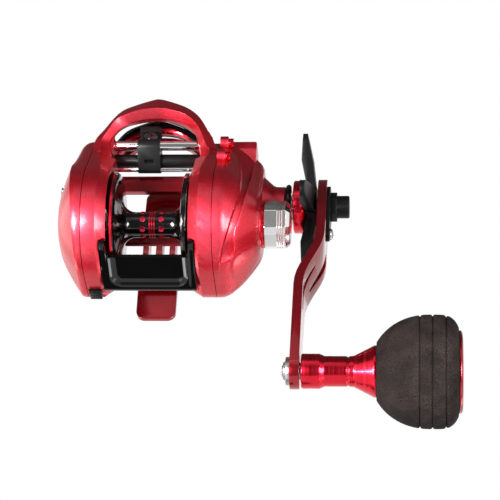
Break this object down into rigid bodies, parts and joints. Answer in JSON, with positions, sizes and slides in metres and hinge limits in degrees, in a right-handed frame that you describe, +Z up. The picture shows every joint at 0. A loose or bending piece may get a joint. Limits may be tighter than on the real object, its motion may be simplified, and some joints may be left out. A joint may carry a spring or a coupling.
{
  "type": "baitcasting fishing reel",
  "caption": "Low-profile baitcasting fishing reel with a geared spool, level-wind line guide, star drag, thumb bar clutch and a long crank handle with a round foam knob.",
  "frame": {"origin": "middle of the foot's underside, where the reel seats on the rod", "axes": "+X along the spool axis towards the handle, +Y forward the way the line leaves, +Z up from the rod"},
  "size_m": [0.15, 0.1412, 0.0635],
  "materials": {
    "red": "gloss metallic paint",
    "anodised": "anodised",
    "black": "gloss",
    "spool_black": "anodised gloss",
    "satin_black": "satin",
    "silver": "polished",
    "chrome": "polished",
    "steel": "satin",
    "brass": "satin",
    "foam": "matte",
    "carbon": "matte",
    "ceramic": "gloss"
  },
  "bodies": {
    "frame": {"frame": "red", "reel_foot": "red", "foot_screws": "steel", "palm_side_cover": "red", "brake_plate": "black", "magnet_ring": "anodised", "brake_magnets": "steel", "palm_bearing": "steel", "gear_side_cover": "red", "cover_screws": "anodised", "pinion_bearing": "steel", "cap_bearing": "steel", "cast_control_collar": "anodised", "shaft_bush": "steel", "anti_reverse_bearing": "steel", "seal_ring": "black", "upper_guide_rod": "chrome", "lower_guide_rod": "chrome", "worm_tube": "black", "worm_bushes": "brass"},
    "spool": {"spool": "spool_black", "spool_shaft": "steel", "clutch_pin": "steel"},
    "clutch": {"clutch_yoke": "brass"},
    "pinion": {"pinion_gear": "brass"},
    "thumb": {"thumb_bar": "black"},
    "handle": {"drive_shaft": "steel", "drive_gear": "brass", "drag_washer": "carbon", "pressure_plate": "steel", "ratchet_wheel": "steel", "level_wind_gear": "brass", "roller_sleeve": "silver", "handle_arm": "anodised", "nut_retainer": "satin_black", "handle_nut": "satin_black", "retainer_screw": "steel", "knob_bolt": "chrome", "knob_axle": "steel"},
    "star": {"star_drag": "satin_black", "drag_ring": "anodised", "drag_springs": "steel"},
    "knob": {"knob_stem": "anodised", "knob_grip": "foam", "knob_end_cap": "anodised", "knob_bearings": "steel"},
    "cast_cap": {"cast_control_cap": "silver", "tension_disc": "carbon"},
    "guide": {"line_guide": "black", "guide_ring": "ceramic", "guide_pawl": "brass"},
    "worm": {"worm_shaft": "steel", "worm_gear": "brass"},
    "dial": {"brake_dial": "silver"},
    "tab": {"release_tab": "black"}
  },
  "joints": [
    {"name": "handle_turn", "type": "hinge", "parent": "frame", "child": "handle", "pos_m": [0, 0.01076, 0.0178], "axis": [1, 0, 0], "continuous": true},
    {"name": "spool_spin", "type": "hinge", "parent": "frame", "child": "spool", "pos_m": [0, -0.0044, 0.0275], "axis": [1, 0, 0], "continuous": true},
    {"name": "clutch_shift", "type": "slide", "parent": "frame", "child": "clutch", "axis": [1, 0, 0], "range_m": [0, 0.0015]},
    {"name": "pinion_spin", "type": "hinge", "parent": "clutch", "child": "pinion", "pos_m": [0, -0.0044, 0.0275], "axis": [1, 0, 0], "continuous": true},
    {"name": "thumb_bar_press", "type": "slide", "parent": "frame", "child": "thumb", "axis": [0, -0.2244, -0.9745], "range_m": [0, 0.004]},
    {"name": "knob_spin", "type": "hinge", "parent": "handle", "child": "knob", "pos_m": [0, -0.07262, 0.03431], "axis": [1, 0, 0], "continuous": true},
    {"name": "star_drag_turn", "type": "hinge", "parent": "handle", "child": "star", "pos_m": [0, 0.01076, 0.0178], "axis": [1, 0, 0], "range_deg": [-180, 180]},
    {"name": "cast_control_turn", "type": "hinge", "parent": "frame", "child": "cast_cap", "pos_m": [0, -0.0044, 0.0275], "axis": [1, 0, 0], "range_deg": [-180, 180]},
    {"name": "worm_spin", "type": "hinge", "parent": "frame", "child": "worm", "pos_m": [0, 0.0266, 0.02636], "axis": [1, 0, 0], "continuous": true},
    {"name": "line_guide_slide", "type": "slide", "parent": "frame", "child": "guide", "axis": [1, 0, 0], "range_m": [-0.0086, 0.0156]},
    {"name": "brake_dial_turn", "type": "hinge", "parent": "frame", "child": "dial", "pos_m": [0, 0.0076, 0.028], "axis": [1, 0, 0], "range_deg": [-135, 135]},
    {"name": "release_tab_turn", "type": "hinge", "parent": "frame", "child": "tab", "pos_m": [0, -0.0174, 0.016], "axis": [1, 0, 0], "range_deg": [0, 20]}
  ],
  "couplings": [
    {"joint": "spool_spin", "follows": "handle_turn", "ratio": -5},
    {"joint": "pinion_spin", "follows": "handle_turn", "ratio": -5},
    {"joint": "worm_spin", "follows": "handle_turn", "ratio": -3},
    {"joint": "clutch_shift", "follows": "thumb_bar_press", "ratio": 0.375}
  ]
}
